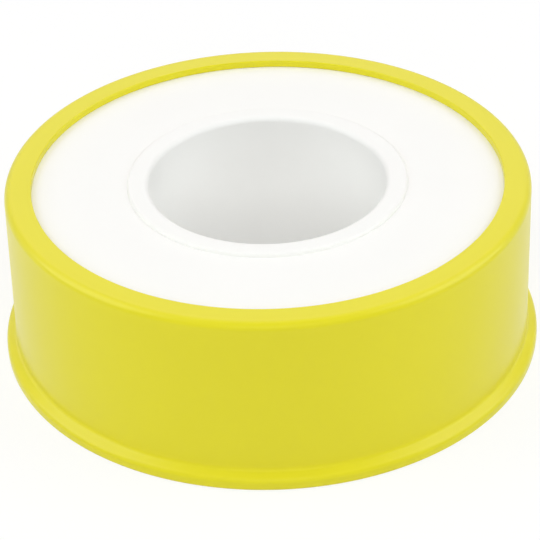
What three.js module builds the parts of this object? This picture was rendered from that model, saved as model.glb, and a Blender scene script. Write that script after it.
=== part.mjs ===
// A roll of thread-sealing tape: a white spool in two mouldings, the film wound on it,
// and a yellow clip-on shell that turns freely round the spool and lifts off upwards.
// Millimetres, +Z up along the roll's axis, origin at the middle of the base.
import * as THREE from "three";

// The tape: one strip of film, wound tightly, with its free end on the outside.
const TAPE_WIDTH = 12;
const TAPE_THICKNESS = 0.075;
const TAPE_LENGTH = 10000;
const WINDING_FILL = 0.97; // share of the wound ring that is film, the rest is air
const FREE_END_ANGLE = THREE.MathUtils.degToRad(-62); // where the cut end lies, from +X
const FREE_END_ARC = THREE.MathUtils.degToRad(32); // stretch of the last turn that stands off
const FREE_END_LIFT = 0.6; // how far the cut end stands off the turn below it

// The spool: a hub with the lower flange, and a top disc on the hub's stepped end.
const BORE_DIAMETER = 21.6;
const BORE_EDGE_RADIUS = 0.5;
const HUB_WALL = 2; // wall of the hub's stepped end, which shows as the ring round the bore
const DISC_SEAT_WIDTH = 0.7; // shoulder that carries the top disc
const FLANGE_RIM = 0.84; // how far the flanges stand out past the free end
const FLANGE_THICKNESS = 1.1;
const FLANGE_EDGE_RADIUS = 0.3;
const COLLAR_RISE = 0.32; // how far the hub's end stands proud of the top disc
const COLLAR_EDGE_RADIUS = 0.28;

// The shell: wall, inward lip, outward brim, and a retaining bead inside its foot.
const SHELL_WALL = 1.15; // at its top
const WALL_DRAFT = 0.16; // how much further out the wall stands at its foot than at its top
const SHELL_EDGE_RADIUS = 0.7;
const LIP_OVERLAP = 0.75; // how far the lip reaches in over the top disc
const LIP_THICKNESS = 0.65;
const LIP_EDGE_RADIUS = 0.12;
const LIP_FILLET = 0.6; // inside, between the lip and the wall
const BRIM_WIDTH = 0.94;
const BRIM_EDGE_HEIGHT = 1.05; // of its outer edge, before rounding
const BRIM_SLOPE = 0.55; // how much higher its top stands at the wall than at its edge
const BRIM_EDGE_RADIUS = 0.6;
const BRIM_FILLET = 0.5; // between the brim's top and the wall
const BRIM_FOOT_RADIUS = 0.3;
const BEAD_RISE = 0.4;
const BEAD_EDGE = 0.2; // plain wall left below the bead

// Clearances.
const WINDING_SEAT = 0.1; // first turn round the hub
const TAPE_SIDE_PLAY = 0.3; // film edge to flange, each side
const DISC_FIT = 0.05; // disc's hole round the hub's stepped end
const DISC_SEAT_GAP = 0.1; // disc over its shoulder
const SHELL_RUNNING_GAP = 0.15; // bead round the flanges
const LIP_PLAY = 0.03; // lip over the top disc
const BEAD_PLAY = 0.15; // bead under the lower flange

// Facets.
const TURN_STEPS = 72;
const ARC_STEPS = 3;
const FREE_END_STEPS = 10;

// Angles round a section.
const DOWN = -Math.PI / 2;
const OUT = 0;
const UP = Math.PI / 2;
const IN = Math.PI;
const UNDER = 1.5 * Math.PI;
const FULL_TURN = 2 * Math.PI;

// Radii, from the bore outwards.
const boreRadius = BORE_DIAMETER / 2;
const collarRadius = boreRadius + HUB_WALL;
const discHoleRadius = collarRadius + DISC_FIT;
const coreRadius = collarRadius + DISC_SEAT_WIDTH;
const windingInner = coreRadius + WINDING_SEAT;
const windingArea = (TAPE_LENGTH * TAPE_THICKNESS) / WINDING_FILL;
const windingOuter = Math.sqrt(windingInner ** 2 + windingArea / Math.PI);
const flangeRadius = windingOuter + FREE_END_LIFT + FLANGE_RIM;
const beadRadius = flangeRadius + SHELL_RUNNING_GAP;
const shellInner = beadRadius + BEAD_RISE;
const shellOuter = shellInner + SHELL_WALL;
const wallFootRadius = shellOuter + WALL_DRAFT;
const brimRadius = wallFootRadius + BRIM_WIDTH;
const lipRadius = flangeRadius - LIP_OVERLAP;

// Heights, from the base upwards.
const beadMiddle = BEAD_EDGE + BEAD_RISE;
const lowerFlangeBottom = beadMiddle + BEAD_RISE + BEAD_PLAY;
const lowerFlangeTop = lowerFlangeBottom + FLANGE_THICKNESS;
const tapeBottom = lowerFlangeTop + TAPE_SIDE_PLAY;
const discBottom = tapeBottom + TAPE_WIDTH + TAPE_SIDE_PLAY;
const shoulderHeight = discBottom - DISC_SEAT_GAP;
const discTop = discBottom + FLANGE_THICKNESS;
const collarTop = discTop + COLLAR_RISE;
const lipBottom = discTop + LIP_PLAY;
const lipMiddle = lipBottom + LIP_THICKNESS / 2;
const shellTop = lipBottom + LIP_THICKNESS;

// The brim's sloping top: the angle it faces, the length that a rounding takes on each side
// of a corner for each unit of its radius, and the radius that half of the slope has room for.
const brimAngle = Math.atan2(BRIM_WIDTH, BRIM_SLOPE);
const brimTangent = Math.tan(brimAngle / 2);
const brimRoom = Math.hypot(BRIM_WIDTH, BRIM_SLOPE) / 2 / brimTangent;
const brimTop = BRIM_EDGE_HEIGHT + BRIM_SLOPE;

// Edge radii, each no larger than its wall allows.
const flangeEdge = Math.min(FLANGE_EDGE_RADIUS, FLANGE_THICKNESS / 2);
const collarEdge = Math.min(COLLAR_EDGE_RADIUS, COLLAR_RISE, HUB_WALL / 2);
const boreEdge = Math.min(BORE_EDGE_RADIUS, HUB_WALL - collarEdge);
const lipFillet = Math.min(LIP_FILLET, LIP_OVERLAP);
const shellEdge = Math.min(SHELL_EDGE_RADIUS, lipFillet + LIP_THICKNESS, lipFillet + SHELL_WALL);
const lipEdge = Math.min(LIP_EDGE_RADIUS, LIP_THICKNESS / 2);
const brimFoot = Math.min(BRIM_FOOT_RADIUS, BRIM_EDGE_HEIGHT / 2);
const brimEdge = Math.min(BRIM_EDGE_RADIUS, brimRoom, (BRIM_EDGE_HEIGHT - brimFoot) / brimTangent);
const brimFillet = Math.min(BRIM_FILLET, brimRoom);

const yellowShell = new THREE.MeshStandardMaterial({ color: 0xe3da43, roughness: 0.42, metalness: 0 });
const whiteSpool = new THREE.MeshStandardMaterial({ color: 0xf8f7f3, roughness: 0.5, metalness: 0 });
const whiteFilm = new THREE.MeshStandardMaterial({ color: 0xf1f2f0, roughness: 0.6, metalness: 0 });

function piece(name, geometry, material) {
  const mesh = new THREE.Mesh(geometry, material);
  mesh.name = name;
  return mesh;
}

// A closed section in the (radius, height) plane, turned round the roll's axis.
function turned(section) {
  const solid = new THREE.LatheGeometry(section.getPoints(ARC_STEPS), TURN_STEPS);
  return solid.rotateX(Math.PI / 2);
}

// Rounds a flat rim of the given radius, from its lower face to its upper one.
function roundedRim(section, radius, bottom, top, edge) {
  section.absarc(radius - edge, bottom + edge, edge, DOWN, OUT);
  section.absarc(radius - edge, top - edge, edge, OUT, UP);
}

// Tube with a rounded bore, lower flange, core for the winding and a stepped end for the disc.
function spoolHub() {
  const section = new THREE.Path();
  section.moveTo(coreRadius, lowerFlangeTop);
  section.lineTo(coreRadius, shoulderHeight);
  section.lineTo(collarRadius, shoulderHeight);
  section.absarc(collarRadius - collarEdge, collarTop - collarEdge, collarEdge, OUT, UP);
  section.absarc(boreRadius + boreEdge, collarTop - boreEdge, boreEdge, UP, IN);
  section.absarc(boreRadius + boreEdge, boreEdge, boreEdge, IN, UNDER);
  section.absarc(collarRadius - collarEdge, collarEdge, collarEdge, DOWN, OUT);
  section.lineTo(collarRadius, lowerFlangeBottom);
  roundedRim(section, flangeRadius, lowerFlangeBottom, lowerFlangeTop, flangeEdge);
  section.lineTo(coreRadius, lowerFlangeTop);
  return piece("spool_hub", turned(section), whiteSpool);
}

// Flat disc whose hole drops over the hub's stepped end.
function spoolDisc() {
  const section = new THREE.Path();
  section.moveTo(discHoleRadius, discTop);
  section.lineTo(discHoleRadius, discBottom);
  roundedRim(section, flangeRadius, discBottom, discTop, flangeEdge);
  section.lineTo(discHoleRadius, discTop);
  return piece("spool_disc", turned(section), whiteSpool);
}

// The wound film, seen along the axis. The outer turn gains one film thickness on its way
// round, and its last stretch bends away from the turn below it to the cut end.
function tapeWinding() {
  const liftStart = FULL_TURN - FREE_END_ARC;
  const turnSurface = (angle) => windingOuter - TAPE_THICKNESS * (1 - angle / FULL_TURN);
  const lift = (angle) => FREE_END_LIFT * ((angle - liftStart) / FREE_END_ARC) ** 2;
  const outline = [];
  const addPoint = (radius, angle) => {
    const turn = angle + FREE_END_ANGLE;
    outline.push(new THREE.Vector2(radius * Math.cos(turn), radius * Math.sin(turn)));
  };
  for (let step = 0; step < TURN_STEPS; step += 1) {
    const angle = (liftStart * step) / TURN_STEPS;
    addPoint(turnSurface(angle), angle);
  }
  const freeAngles = Array.from(
    { length: FREE_END_STEPS + 1 },
    (_, step) => liftStart + (FREE_END_ARC * step) / FREE_END_STEPS,
  );
  for (const angle of freeAngles) {
    addPoint(turnSurface(angle) + lift(angle), angle);
  }
  for (const angle of freeAngles.toReversed()) {
    addPoint(turnSurface(angle) - TAPE_THICKNESS + lift(angle), angle);
  }
  for (const angle of freeAngles.slice(1, -1)) {
    addPoint(turnSurface(angle) - TAPE_THICKNESS, angle);
  }
  const ring = new THREE.Shape(outline);
  ring.holes.push(new THREE.Path().absarc(0, 0, windingInner, 0, FULL_TURN, true));
  const solid = new THREE.ExtrudeGeometry(ring, {
    depth: TAPE_WIDTH,
    bevelEnabled: false,
    curveSegments: TURN_STEPS / 2, // an arc takes two steps for each
  });
  const winding = piece("tape_winding", solid, whiteFilm);
  winding.position.z = tapeBottom;
  return winding;
}

// Wall that flares into a brim at its foot, with a lip over the disc and a bead that snaps
// under the lower flange.
function outerShell() {
  const section = new THREE.Path();
  section.moveTo(lipRadius, lipMiddle);
  section.lineTo(lipRadius, lipBottom);
  section.absarc(shellInner - lipFillet, lipBottom - lipFillet, lipFillet, UP, OUT, true);
  section.absarc(shellInner, beadMiddle, BEAD_RISE, UP, UNDER);
  section.lineTo(shellInner, 0);
  section.absarc(brimRadius - brimFoot, brimFoot, brimFoot, DOWN, OUT);
  const edgeHeight = BRIM_EDGE_HEIGHT - brimEdge * brimTangent;
  const filletHeight = brimTop + brimFillet * brimTangent;
  section.absarc(brimRadius - brimEdge, edgeHeight, brimEdge, OUT, brimAngle);
  section.absarc(wallFootRadius + brimFillet, filletHeight, brimFillet, IN + brimAngle, IN, true);
  section.absarc(shellOuter - shellEdge, shellTop - shellEdge, shellEdge, OUT, UP);
  section.absarc(lipRadius + lipEdge, shellTop - lipEdge, lipEdge, UP, IN);
  section.lineTo(lipRadius, lipMiddle);
  return piece("outer_shell", turned(section), yellowShell);
}

const spool = new THREE.Group();
spool.add(spoolHub(), tapeWinding(), spoolDisc());

const roll = new THREE.Group();
roll.add(spool, outerShell());

export default roll;
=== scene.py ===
"""The looks of a roll of thread-sealing tape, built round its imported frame.

The shell, the hub and the top disc are sections turned round the roll's axis, and the film is one
strip wound in a spiral. The roll's sizes are in metres, written as millimetres times MM, with +Z up
along its axis.
"""

import math

import bpy
from mathutils import Matrix, Vector


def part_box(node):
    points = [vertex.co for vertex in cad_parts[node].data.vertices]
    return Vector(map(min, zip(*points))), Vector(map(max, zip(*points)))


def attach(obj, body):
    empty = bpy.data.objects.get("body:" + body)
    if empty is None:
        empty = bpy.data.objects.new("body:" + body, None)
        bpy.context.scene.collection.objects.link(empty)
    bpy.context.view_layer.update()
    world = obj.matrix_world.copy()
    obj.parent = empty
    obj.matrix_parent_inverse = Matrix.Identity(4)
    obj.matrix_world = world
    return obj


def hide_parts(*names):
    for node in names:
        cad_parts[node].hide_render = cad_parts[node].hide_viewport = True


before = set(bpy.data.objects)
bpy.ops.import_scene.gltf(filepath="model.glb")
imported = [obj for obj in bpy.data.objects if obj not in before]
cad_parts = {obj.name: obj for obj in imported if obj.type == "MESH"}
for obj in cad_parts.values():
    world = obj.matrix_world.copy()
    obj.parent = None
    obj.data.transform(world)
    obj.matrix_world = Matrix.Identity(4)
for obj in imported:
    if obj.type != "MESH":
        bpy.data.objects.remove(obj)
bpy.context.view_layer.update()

MM = 0.001

# Camera, fitted to the photograph's outline of the shell, the lip and the bore.
CAMERA_PLACE = Vector((-0.02, -172.23, 121.27)) * MM
CAMERA_AIM = Vector((-0.02, 0.0, 6.1)) * MM
CAMERA_ROLL = math.radians(-1.72)
LENS_LENGTH = 147.67  # this and the sensor in plain millimetres, as Blender takes them
SENSOR_WIDTH = 36.0
CLIP_START = 10 * MM

# Spool.
BORE_RADIUS = 10.8 * MM
BORE_EDGE = 0.5 * MM
HUB_WALL = 2.0 * MM
COLLAR_EDGE = 0.28 * MM
DISC_SEAT_WIDTH = 0.7 * MM
DISC_SEAT_GAP = 0.1 * MM
DISC_FIT = 0.005 * MM  # too close to show as a dark line
FLANGE_THICKNESS = 1.1 * MM
FLANGE_EDGE = 0.3 * MM
CORE_FILLET = 0.25 * MM

# Shell.
SHELL_WALL = 1.15 * MM  # at its top
WALL_DRAFT = 0.16 * MM  # how much further out the wall stands at its foot
SHELL_EDGE = 0.7 * MM
LIP_OVERLAP = 0.75 * MM
LIP_THICKNESS = 0.65 * MM
LIP_EDGE = 0.12 * MM
LIP_FILLET = 0.6 * MM
BRIM_WIDTH = 0.94 * MM
BRIM_EDGE_HEIGHT = 1.05 * MM
BRIM_SLOPE = 0.55 * MM  # how much higher the brim's top stands at the wall than at its edge
BRIM_EDGE = 0.6 * MM
BRIM_FILLET = 0.5 * MM
BRIM_FOOT = 0.3 * MM
BEAD_RISE = 0.4 * MM
BEAD_HEIGHT = 0.2 * MM  # plain wall below the bead
SMALL_EDGE = 0.06 * MM  # the break of an edge that looks sharp
SHARP = 0.0

# Film.
FILM_THICKNESS = 0.075 * MM
FILM_TURNS = 93
FREE_END_ANGLE = math.radians(-62)
FREE_END_ARC = math.radians(32)
FREE_END_LIFT = 0.6 * MM
WINDING_SEAT = 0.1 * MM
EDGE_WANDER = 0.06 * MM  # how far the film's edges stray sideways from turn to turn

# Steps round the axis, round an edge, and round one turn of film.
TURN_STEPS = 288
ROUNDING_STEPS = 8
FILM_STEPS = 96
SHARP_ANGLE = math.radians(50)  # an edge folded more than this is shaded sharp

# Colours, in linear light.
YELLOW = (0.815, 0.735, 0.012)
YELLOW_DEEP = (0.805, 0.725, 0.011)
WHITE = (0.985, 0.98, 0.96)
WHITE_DULL = (0.975, 0.97, 0.95)
FILM_WHITE = (0.90, 0.905, 0.89)
FILM_SHADED = (0.84, 0.85, 0.83)

# Finish of the moulded plastic. Roughness goes from the glossiest patches to the dullest.
YELLOW_ROUGHNESS = (0.27, 0.32)
WHITE_ROUGHNESS = (0.34, 0.40)
PLASTIC_IOR = 1.43
CLOUD_SIZE = 7 * MM
CLOUD_DETAIL = 3
GLOSS_PATCH_SIZE = 3 * MM
GLOSS_PATCH_DETAIL = 4
SWELL_SIZE = 4 * MM
SWELL_DEPTH = 0.002 * MM
GRAIN_SIZE = 0.12 * MM
GRAIN_DEPTH = 0.0004 * MM

# Finish of the film.
FILM_ROUGHNESS = (0.45, 0.65)
FILM_IOR = 1.38
STREAK_WIDTH = 0.35 * MM
STREAK_LENGTH = 50  # in streak widths
STREAK_DETAIL = 4
STREAK_HARSHNESS = 0.6
STREAK_DEPTH = 0.01 * MM
WANDER_RATE = 0.7  # about how often the film's edges swing in one turn
WANDER_DETAIL = 2

# Parts of a noise's range: where most of its values lie, and the whole of it.
NOISE_MIDDLE = (0.3, 0.7)
NOISE_WHOLE = (0.0, 1.0)

# Light. The lamps' places and sides are in metres, their powers in watts.
WHITE_LIGHT = (1, 1, 1, 1)
SKY_LIGHT = 0.08
BACKDROP_LIGHT = 1.0
TOP_PLACE = Vector((0.0, 0.27, 0.38))
TOP_SIDE = 0.6
TOP_POWER = 0.77
TOP_TINT = (1.0, 0.89, 0.87)
FLANK_PLACE = Vector((0.41, -0.02, 0.31))
FLANK_SIDE = 0.44
FLANK_POWER = 1.24
FLANK_TINT = (0.96, 1.0, 1.0)
FRONT_PLACE = Vector((0.0, -0.42, 0.34))
FRONT_SIDE = 0.35
FRONT_POWER = 1.23
FRONT_TINT = (0.98, 1.0, 1.0)
FLOOR_SIDE = 6.0
FLOOR_DROP = 0.01 * MM
FLOOR_ALBEDO = 0.9
FLOOR_SHOWN_ALBEDO = 0.22
FLOOR_SHOWN_GLOW = 0.8


def add_node(tree, kind, inputs=None, **settings):
    """A new node with its settings, and with values or links on its inputs."""
    node = tree.nodes.new(kind)
    for name, value in settings.items():
        setattr(node, name, value)
    for name, value in (inputs or {}).items():
        if isinstance(value, bpy.types.NodeSocket):
            tree.links.new(value, node.inputs[name])
        else:
            node.inputs[name].default_value = value
    return node


def cleared_tree(owner):
    """The empty node tree of a material or a world."""
    owner.use_nodes = True
    owner.node_tree.nodes.clear()
    return owner.node_tree


def make_camera():
    data = bpy.data.cameras.new("camera")
    data.lens = LENS_LENGTH
    data.sensor_width = SENSOR_WIDTH
    data.clip_start = CLIP_START
    camera = bpy.data.objects.new("camera", data)
    aim = (CAMERA_AIM - CAMERA_PLACE).to_track_quat("-Z", "Y")
    roll = Matrix.Rotation(CAMERA_ROLL, 4, "Z")
    camera.matrix_world = Matrix.Translation(CAMERA_PLACE) @ aim.to_matrix().to_4x4() @ roll
    bpy.context.scene.collection.objects.link(camera)
    bpy.context.scene.camera = camera


def shown_rays(tree):
    """1 for the rays that show the backdrop: from the camera, off gloss and through clear material."""
    path = add_node(tree, "ShaderNodeLightPath")
    seen = add_node(
        tree,
        "ShaderNodeMath",
        {0: path.outputs["Is Camera Ray"], 1: path.outputs["Is Glossy Ray"]},
        operation="MAXIMUM",
    )
    return add_node(
        tree,
        "ShaderNodeMath",
        {0: seen.outputs[0], 1: path.outputs["Is Transmission Ray"]},
        operation="MAXIMUM",
    ).outputs[0]


def make_world():
    world = bpy.data.worlds.new("studio")
    tree = cleared_tree(world)
    sky = add_node(tree, "ShaderNodeBackground", {"Color": WHITE_LIGHT, "Strength": SKY_LIGHT})
    backdrop = add_node(
        tree, "ShaderNodeBackground", {"Color": WHITE_LIGHT, "Strength": BACKDROP_LIGHT}
    )
    either = add_node(
        tree,
        "ShaderNodeMixShader",
        {0: shown_rays(tree), 1: sky.outputs[0], 2: backdrop.outputs[0]},
    )
    add_node(tree, "ShaderNodeOutputWorld", {"Surface": either.outputs[0]})
    bpy.context.scene.world = world


def make_softbox(name, place, side, power, tint, mirrored=False):
    """A square lamp at that place, turned towards the roll; its own mirror image shows if asked."""
    data = bpy.data.lights.new(name, "AREA")
    data.size = side
    data.energy = power
    data.color = tint
    lamp = bpy.data.objects.new(name, data)
    turn = (-place).to_track_quat("-Z", "Y")
    lamp.matrix_world = Matrix.Translation(place) @ turn.to_matrix().to_4x4()
    lamp.visible_glossy = mirrored
    bpy.context.scene.collection.objects.link(lamp)


def make_softboxes():
    make_softbox("top_box", TOP_PLACE, TOP_SIDE, TOP_POWER, TOP_TINT, mirrored=True)
    make_softbox("front_box", FRONT_PLACE, FRONT_SIDE, FRONT_POWER, FRONT_TINT)
    across = Vector((-1, 1, 1))
    for name, place in (("right_box", FLANK_PLACE), ("left_box", FLANK_PLACE * across)):
        make_softbox(name, place, FLANK_SIDE, FLANK_POWER, FLANK_TINT, mirrored=True)


def floor_paint():
    """Pale floor that shows as white where nothing shades it."""
    material = bpy.data.materials.new("floor_paint")
    tree = cleared_tree(material)
    paint, shown = (
        add_node(tree, "ShaderNodeBsdfDiffuse", {"Color": (albedo, albedo, albedo, 1)})
        for albedo in (FLOOR_ALBEDO, FLOOR_SHOWN_ALBEDO)
    )
    glow = add_node(tree, "ShaderNodeEmission", {"Strength": FLOOR_SHOWN_GLOW})
    pale = add_node(tree, "ShaderNodeAddShader", {0: shown.outputs[0], 1: glow.outputs[0]})
    either = add_node(
        tree,
        "ShaderNodeMixShader",
        {0: shown_rays(tree), 1: paint.outputs[0], 2: pale.outputs[0]},
    )
    add_node(tree, "ShaderNodeOutputMaterial", {"Surface": either.outputs[0]})
    return material


def make_floor():
    half = FLOOR_SIDE / 2
    mesh = bpy.data.meshes.new("floor")
    corners = [(-half, -half), (half, -half), (half, half), (-half, half)]
    mesh.from_pydata([(x, y, -FLOOR_DROP) for x, y in corners], [], [(0, 1, 2, 3)])
    mesh.materials.append(floor_paint())
    floor = bpy.data.objects.new("floor", mesh)
    bpy.context.scene.collection.objects.link(floor)


def noise(tree, place, feature, detail=2, harshness=0.5):
    """Noise whose features are about that size, from 0 to 1."""
    node = add_node(
        tree,
        "ShaderNodeTexNoise",
        {"Vector": place, "Scale": 1 / feature, "Detail": detail, "Roughness": harshness},
    )
    return node.outputs["Fac"]


def spread(tree, value, low, high, part=NOISE_MIDDLE):
    """A noise value, with that part of its range taken from low to high."""
    start, end = part
    node = add_node(
        tree,
        "ShaderNodeMapRange",
        {"Value": value, "From Min": start, "From Max": end, "To Min": low, "To Max": high},
    )
    return node.outputs["Result"]


def mixed_tints(tree, share, first, second):
    """A colour that goes from the first tint to the second as the share goes from 0 to 1."""
    node = add_node(
        tree,
        "ShaderNodeMix",
        {"Factor": share, "A": (*first, 1), "B": (*second, 1)},
        data_type="RGBA",
    )
    return node.outputs["Result"]


def bumped(tree, height, depth, below=None):
    """A surface with that relief, over another relief if there is one."""
    node = add_node(tree, "ShaderNodeBump", {"Height": height, "Strength": 1.0, "Distance": depth})
    if below is not None:
        tree.links.new(below, node.inputs["Normal"])
    return node.outputs["Normal"]


def moulded_plastic(name, tint, deep_tint, roughness):
    """Satin moulded plastic: faint clouds of pigment, uneven gloss, a soft swell and a fine grain."""
    material = bpy.data.materials.new(name)
    tree = cleared_tree(material)
    place = add_node(tree, "ShaderNodeTexCoord").outputs["Object"]
    clouds = spread(tree, noise(tree, place, CLOUD_SIZE, CLOUD_DETAIL), 0, 1)
    tints = mixed_tints(tree, clouds, tint, deep_tint)
    patches = noise(tree, place, GLOSS_PATCH_SIZE, GLOSS_PATCH_DETAIL)
    gloss = spread(tree, patches, *roughness, part=NOISE_WHOLE)
    swell = bumped(tree, noise(tree, place, SWELL_SIZE), SWELL_DEPTH)
    grain = bumped(tree, noise(tree, place, GRAIN_SIZE), GRAIN_DEPTH, swell)
    shader = add_node(
        tree,
        "ShaderNodeBsdfPrincipled",
        {
            "Base Color": tints,
            "Roughness": gloss,
            "Normal": grain,
            "IOR": PLASTIC_IOR,
        },
    )
    add_node(tree, "ShaderNodeOutputMaterial", {"Surface": shader.outputs[0]})
    return material


def sealing_film():
    """Soft white film with fine streaks along the strip."""
    material = bpy.data.materials.new("sealing_film")
    tree = cleared_tree(material)
    place = add_node(tree, "ShaderNodeTexCoord").outputs["Object"]
    height = add_node(tree, "ShaderNodeSeparateXYZ", {0: place}).outputs["Z"]
    along = add_node(tree, "ShaderNodeAttribute", attribute_name="along").outputs["Fac"]
    drawn_out = add_node(
        tree, "ShaderNodeMath", {0: along, 1: 1 / STREAK_LENGTH}, operation="MULTIPLY"
    ).outputs[0]
    strip = add_node(tree, "ShaderNodeCombineXYZ", {"X": drawn_out, "Y": height}).outputs[0]
    streaks = noise(tree, strip, STREAK_WIDTH, STREAK_DETAIL, STREAK_HARSHNESS)
    tints = mixed_tints(tree, spread(tree, streaks, 0, 1), FILM_WHITE, FILM_SHADED)
    gloss = spread(tree, streaks, *FILM_ROUGHNESS)
    shader = add_node(
        tree,
        "ShaderNodeBsdfPrincipled",
        {
            "Base Color": tints,
            "Roughness": gloss,
            "Normal": bumped(tree, streaks, STREAK_DEPTH),
            "IOR": FILM_IOR,
        },
    )
    add_node(tree, "ShaderNodeOutputMaterial", {"Surface": shader.outputs[0]})
    return material


def add_inputs(tree, sockets):
    """Gives a node tree its named inputs and returns their identifiers."""
    return {
        name: tree.interface.new_socket(name, in_out="INPUT", socket_type=kind).identifier
        for name, kind in sockets.items()
    }


def turned_moulding_tree():
    """A closed section in X and Y, rounded at its corners and swept round the Z axis, with Y up."""
    tree = bpy.data.node_groups.new("turned_moulding", "GeometryNodeTree")
    names = add_inputs(
        tree,
        {
            "Section": "NodeSocketGeometry",
            "Path Radius": "NodeSocketFloat",
            "Turn Steps": "NodeSocketInt",
            "Rounding Steps": "NodeSocketInt",
            "Sharp Angle": "NodeSocketFloat",
            "Finish": "NodeSocketMaterial",
        },
    )
    tree.interface.new_socket("Moulding", in_out="OUTPUT", socket_type="NodeSocketGeometry")
    given = add_node(tree, "NodeGroupInput").outputs

    rounding = add_node(tree, "GeometryNodeInputNamedAttribute", {"Name": "rounding"}, data_type="FLOAT")
    outline = add_node(tree, "GeometryNodeMeshToCurve", {"Mesh": given["Section"]})
    rounded = add_node(
        tree,
        "GeometryNodeFilletCurve",
        {
            "Curve": outline.outputs[0],
            "Count": given["Rounding Steps"],
            "Radius": rounding.outputs["Attribute"],
            "Limit Radius": True,
        },
        mode="POLY",
    )
    inward = add_node(tree, "ShaderNodeMath", {0: given["Path Radius"], 1: -1.0}, operation="MULTIPLY")
    offset = add_node(tree, "ShaderNodeCombineXYZ", {"X": inward.outputs[0]})
    section = add_node(
        tree, "GeometryNodeTransform", {"Geometry": rounded.outputs[0], "Translation": offset.outputs[0]}
    )
    circle = add_node(
        tree,
        "GeometryNodeCurvePrimitiveCircle",
        {"Resolution": given["Turn Steps"], "Radius": given["Path Radius"]},
    )
    swept = add_node(
        tree,
        "GeometryNodeCurveToMesh",
        {"Curve": circle.outputs["Curve"], "Profile Curve": section.outputs[0]},
    )
    upright = add_node(
        tree, "GeometryNodeTransform", {"Geometry": swept.outputs[0], "Rotation": (math.pi, 0, 0)}
    )
    smooth = add_node(
        tree, "GeometryNodeSetShadeSmooth", {"Geometry": upright.outputs[0], "Shade Smooth": True}
    )
    angle = add_node(tree, "GeometryNodeInputMeshEdgeAngle")
    folded = add_node(
        tree,
        "FunctionNodeCompare",
        {"A": angle.outputs["Unsigned Angle"], "B": given["Sharp Angle"]},
        operation="GREATER_THAN",
    )
    creased = add_node(
        tree,
        "GeometryNodeSetShadeSmooth",
        {"Geometry": smooth.outputs[0], "Selection": folded.outputs[0], "Shade Smooth": False},
        domain="EDGE",
    )
    whole = add_node(tree, "GeometryNodeRealizeInstances", {"Geometry": creased.outputs[0]})
    finished = add_node(
        tree, "GeometryNodeSetMaterial", {"Geometry": whole.outputs[0], "Material": given["Finish"]}
    )
    add_node(tree, "NodeGroupOutput", {"Moulding": finished.outputs[0]})
    return tree, names


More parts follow.
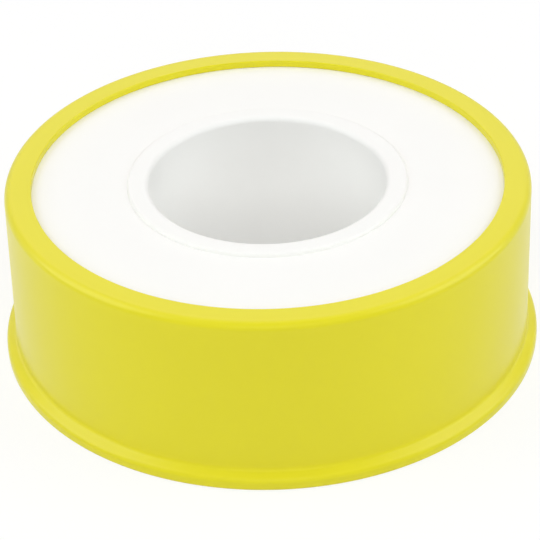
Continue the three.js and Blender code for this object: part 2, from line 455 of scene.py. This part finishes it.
def wound_film_tree():
    """One strip of film wound outwards in a flat spiral, with its last stretch standing off."""
    tree = bpy.data.node_groups.new("wound_film", "GeometryNodeTree")
    names = add_inputs(
        tree,
        {
            "Turns": "NodeSocketInt",
            "Steps per Turn": "NodeSocketInt",
            "Inner Radius": "NodeSocketFloat",
            "Outer Radius": "NodeSocketFloat",
            "Film Thickness": "NodeSocketFloat",
            "Film Width": "NodeSocketFloat",
            "Middle Height": "NodeSocketFloat",
            "End Angle": "NodeSocketFloat",
            "Free Arc": "NodeSocketFloat",
            "Free Lift": "NodeSocketFloat",
            "Edge Wander": "NodeSocketFloat",
            "Finish": "NodeSocketMaterial",
        },
    )
    tree.interface.new_socket("Film", in_out="OUTPUT", socket_type="NodeSocketGeometry")
    given = add_node(tree, "NodeGroupInput").outputs

    def calculate(operation, first, second=0.0, limited=False):
        node = add_node(
            tree, "ShaderNodeMath", {0: first, 1: second}, operation=operation, use_clamp=limited
        )
        return node.outputs[0]

    half_film = calculate("MULTIPLY", given["Film Thickness"], 0.5)
    spiral = add_node(
        tree,
        "GeometryNodeCurveSpiral",
        {
            "Resolution": given["Steps per Turn"],
            "Rotations": given["Turns"],
            "Start Radius": calculate("ADD", given["Inner Radius"], half_film),
            "End Radius": calculate("SUBTRACT", given["Outer Radius"], half_film),
            "Height": 0.0,
        },
    )
    parameter = add_node(tree, "GeometryNodeSplineParameter").outputs
    turns_wound = calculate("DIVIDE", parameter["Index"], given["Steps per Turn"])
    turns_left = calculate("SUBTRACT", given["Turns"], turns_wound)
    angle_left = calculate("MULTIPLY", turns_left, 2 * math.pi)
    share_left = calculate("DIVIDE", angle_left, given["Free Arc"])
    share_free = calculate("SUBTRACT", 1.0, share_left, limited=True)
    lift = calculate("MULTIPLY", calculate("POWER", share_free, 2.0), given["Free Lift"])
    place = add_node(tree, "GeometryNodeInputPosition").outputs[0]
    outwards = add_node(tree, "ShaderNodeVectorMath", {0: place}, operation="NORMALIZE").outputs[0]
    lifted = add_node(
        tree, "ShaderNodeVectorMath", {0: outwards, "Scale": lift}, operation="SCALE"
    ).outputs[0]

    stray = add_node(
        tree,
        "ShaderNodeTexNoise",
        {"W": turns_wound, "Scale": WANDER_RATE, "Detail": WANDER_DETAIL},
        noise_dimensions="1D",
    )
    sideways = calculate("SUBTRACT", calculate("MULTIPLY", stray.outputs["Fac"], 2.0), 1.0)
    wander = calculate("MULTIPLY", sideways, given["Edge Wander"])
    height = calculate("ADD", wander, given["Middle Height"])
    raised = add_node(tree, "ShaderNodeCombineXYZ", {"Z": height}).outputs[0]
    shift = add_node(tree, "ShaderNodeVectorMath", {0: lifted, 1: raised}, operation="ADD").outputs[0]
    laid = add_node(tree, "GeometryNodeSetPosition", {"Geometry": spiral.outputs[0], "Offset": shift})
    turn = add_node(tree, "ShaderNodeCombineXYZ", {"Z": given["End Angle"]}).outputs[0]
    turned = add_node(tree, "GeometryNodeTransform", {"Geometry": laid.outputs[0], "Rotation": turn})
    marked = add_node(
        tree,
        "GeometryNodeStoreNamedAttribute",
        {"Geometry": turned.outputs[0], "Name": "along", "Value": parameter["Length"]},
        data_type="FLOAT",
        domain="POINT",
    )
    upright = add_node(tree, "GeometryNodeSetCurveNormal", {"Curve": marked.outputs[0]}, mode="Z_UP")
    edge_on = add_node(
        tree,
        "GeometryNodeCurvePrimitiveQuadrilateral",
        {"Width": given["Film Thickness"], "Height": given["Film Width"]},
    )
    strip = add_node(
        tree,
        "GeometryNodeCurveToMesh",
        {"Curve": upright.outputs[0], "Profile Curve": edge_on.outputs[0], "Fill Caps": True},
    )
    whole = add_node(tree, "GeometryNodeRealizeInstances", {"Geometry": strip.outputs[0]})
    finished = add_node(
        tree, "GeometryNodeSetMaterial", {"Geometry": whole.outputs[0], "Material": given["Finish"]}
    )
    add_node(tree, "NodeGroupOutput", {"Film": finished.outputs[0]})
    return tree, names


def grown(piece, tree, names, values):
    """Runs a node tree on a piece and keeps the result as its plain mesh."""
    modifier = piece.modifiers.new(tree.name, "NODES")
    modifier.node_group = tree
    for name, value in values.items():
        modifier[names[name]] = value
    even = piece.modifiers.new("even_shading", "WEIGHTED_NORMAL")
    even.keep_sharp = True
    bpy.context.view_layer.update()
    depsgraph = bpy.context.evaluated_depsgraph_get()
    piece.data = bpy.data.meshes.new_from_object(piece.evaluated_get(depsgraph))
    piece.modifiers.clear()
    return piece


def new_piece(name, points, edges):
    mesh = bpy.data.meshes.new(name)
    mesh.from_pydata(points, edges, [])
    piece = bpy.data.objects.new(name, mesh)
    bpy.context.scene.collection.objects.link(piece)
    return piece


def turned_moulding(name, corners, finish):
    """A moulding from its section's corners, each a radius, a height and a rounding."""
    count = len(corners)
    points = [(radius, height, 0) for radius, height, _ in corners]
    piece = new_piece(name, points, [(i, (i + 1) % count) for i in range(count)])
    rounding = piece.data.attributes.new("rounding", "FLOAT", "POINT")
    rounding.data.foreach_set("value", [edge for _, _, edge in corners])
    values = {
        "Path Radius": BORE_RADIUS,
        "Turn Steps": TURN_STEPS,
        "Rounding Steps": ROUNDING_STEPS,
        "Sharp Angle": SHARP_ANGLE,
        "Finish": finish,
    }
    return grown(piece, *turned_moulding_tree(), values)


hub_low, hub_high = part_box("spool_hub")
disc_low, disc_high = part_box("spool_disc")
tape_low, tape_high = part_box("tape_winding")
shell_low, shell_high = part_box("outer_shell")

flange_radius = hub_high.x
collar_radius = BORE_RADIUS + HUB_WALL
core_radius = collar_radius + DISC_SEAT_WIDTH
wall_foot = shell_high.x - BRIM_WIDTH
shell_outer = wall_foot - WALL_DRAFT
shell_inner = shell_outer - SHELL_WALL
lip_radius = flange_radius - LIP_OVERLAP


def make_hub(finish):
    """The tube with its bore, lower flange, core and stepped end."""
    flange_top = tape_low.z - (disc_low.z - tape_high.z)
    flange_bottom = flange_top - FLANGE_THICKNESS
    shoulder = disc_low.z - DISC_SEAT_GAP
    corners = [
        (core_radius, flange_top, CORE_FILLET),
        (core_radius, shoulder, SMALL_EDGE),
        (collar_radius, shoulder, SMALL_EDGE),
        (collar_radius, hub_high.z, COLLAR_EDGE),
        (BORE_RADIUS, hub_high.z, BORE_EDGE),
        (BORE_RADIUS, hub_low.z, BORE_EDGE),
        (collar_radius, hub_low.z, COLLAR_EDGE),
        (collar_radius, flange_bottom, CORE_FILLET),
        (flange_radius, flange_bottom, FLANGE_EDGE),
        (flange_radius, flange_top, FLANGE_EDGE),
    ]
    return turned_moulding("hub", corners, finish)


def make_top_disc(finish):
    """The flat disc that drops over the hub's stepped end."""
    hole = collar_radius + DISC_FIT
    corners = [
        (hole, disc_high.z, SHARP),
        (hole, disc_low.z, SHARP),
        (flange_radius, disc_low.z, FLANGE_EDGE),
        (flange_radius, disc_high.z, FLANGE_EDGE),
    ]
    return turned_moulding("top_disc", corners, finish)


def make_shell(finish):
    """The wall with its lip, its brim and the bead inside its foot."""
    lip_under = shell_high.z - LIP_THICKNESS
    bead_radius = shell_inner - BEAD_RISE
    bead_top = BEAD_HEIGHT + 2 * BEAD_RISE
    corners = [
        (lip_radius, lip_under, SHARP),
        (shell_inner, lip_under, LIP_FILLET),
        (shell_inner, bead_top, SHARP),
        (bead_radius, bead_top, BEAD_RISE),
        (bead_radius, BEAD_HEIGHT, BEAD_RISE),
        (shell_inner, BEAD_HEIGHT, SHARP),
        (shell_inner, shell_low.z, SMALL_EDGE),
        (shell_high.x, shell_low.z, BRIM_FOOT),
        (shell_high.x, BRIM_EDGE_HEIGHT, BRIM_EDGE),
        (wall_foot, BRIM_EDGE_HEIGHT + BRIM_SLOPE, BRIM_FILLET),
        (shell_outer, shell_high.z, SHELL_EDGE),
        (lip_radius, shell_high.z, LIP_EDGE),
    ]
    return turned_moulding("shell", corners, finish)


def make_film(finish):
    """The strip of film, wound from the hub's core to the outer turn."""
    inner = core_radius + WINDING_SEAT
    outer = tape_high.y  # the free end lies on the other side
    piece = new_piece("film", [], [])
    values = {
        "Turns": FILM_TURNS,
        "Steps per Turn": FILM_STEPS,
        "Inner Radius": inner,
        "Outer Radius": outer,
        "Film Thickness": FILM_THICKNESS,
        "Film Width": tape_high.z - tape_low.z,
        "Middle Height": (tape_high.z + tape_low.z) / 2,
        "End Angle": FREE_END_ANGLE,
        "Free Arc": FREE_END_ARC,
        "Free Lift": FREE_END_LIFT,
        "Edge Wander": EDGE_WANDER,
        "Finish": finish,
    }
    return grown(piece, *wound_film_tree(), values)


def place_piece(piece, body, node):
    """Puts a piece on its body, in its node's stead."""
    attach(piece, body)
    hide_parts(node)


bpy.context.scene.view_settings.view_transform = "Standard"
make_camera()
make_world()
make_softboxes()
make_floor()

yellow_plastic = moulded_plastic("yellow_plastic", YELLOW, YELLOW_DEEP, YELLOW_ROUGHNESS)
white_plastic = moulded_plastic("white_plastic", WHITE, WHITE_DULL, WHITE_ROUGHNESS)

place_piece(make_shell(yellow_plastic), "shell", "outer_shell")
place_piece(make_hub(white_plastic), "spool", "spool_hub")
place_piece(make_top_disc(white_plastic), "top_disc", "spool_disc")
place_piece(make_film(sealing_film()), "spool", "tape_winding")
